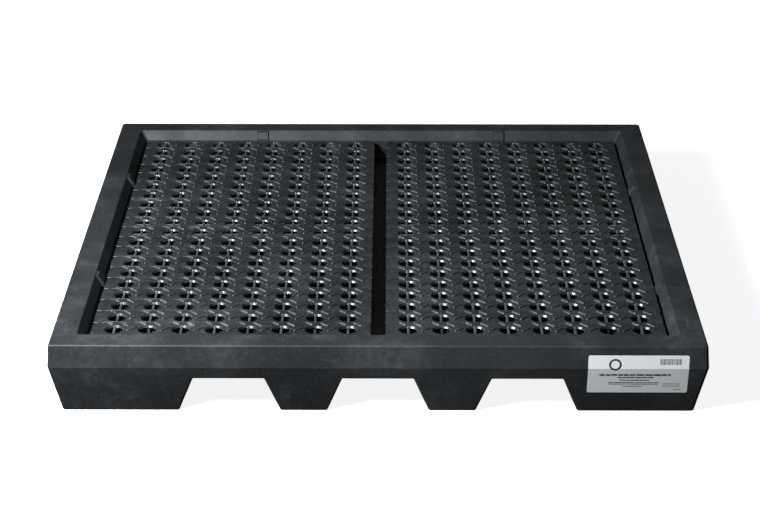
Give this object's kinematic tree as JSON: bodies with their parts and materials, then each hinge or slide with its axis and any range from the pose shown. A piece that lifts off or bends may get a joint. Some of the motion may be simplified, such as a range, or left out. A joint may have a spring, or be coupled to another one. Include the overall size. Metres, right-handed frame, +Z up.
{
  "type": "spill containment pallet",
  "caption": "Low square drum pallet with a moulded sump base, two lift-out perforated deck grates, through fork channels and a plugged side drain.",
  "frame": {"origin": "on the floor, under the centre of the pallet", "axes": "+Z up, +Y from the front wall with the label to the back, +X to the right seen from the front"},
  "size_m": [1.473, 1.4733, 0.172],
  "materials": {
    "moulded_base": "satin, fine moulded grain",
    "moulded_grate": "satin, scuffed on the anti-slip ribs",
    "label_film": "smooth printed film",
    "fitting_plastic": "semi-gloss",
    "seal_rubber": "matte"
  },
  "bodies": {
    "base": {"sump_base": "moulded_base", "label": "label_film", "drain_fitting": "fitting_plastic", "drain_gasket": "seal_rubber", "drain_locknut": "fitting_plastic", "vent_plug": "fitting_plastic"},
    "grate_left": {"grate_left": "moulded_grate"},
    "grate_right": {"grate_right": "moulded_grate"},
    "plug_seal": {"plug_o_ring": "seal_rubber"},
    "plug": {"drain_plug": "fitting_plastic"}
  },
  "joints": [
    {"name": "lift_left", "type": "slide", "parent": "base", "child": "grate_left", "axis": [0, 0, 1], "range_m": [0, 0.3]},
    {"name": "lift_right", "type": "slide", "parent": "base", "child": "grate_right", "axis": [0, 0, 1], "range_m": [0, 0.3]},
    {"name": "plug_travel", "type": "slide", "parent": "base", "child": "plug_seal", "axis": [-1, 0, 0], "range_m": [0, 0.0266]},
    {"name": "plug_turn", "type": "hinge", "parent": "plug_seal", "child": "plug", "pos_m": [-0.64, 0.52, 0.044], "axis": [-1, 0, 0], "range_deg": [0, 4320]}
  ],
  "couplings": [
    {"joint": "plug_travel", "follows": "plug_turn", "m_per_rad": 0.00035157}
  ]
}
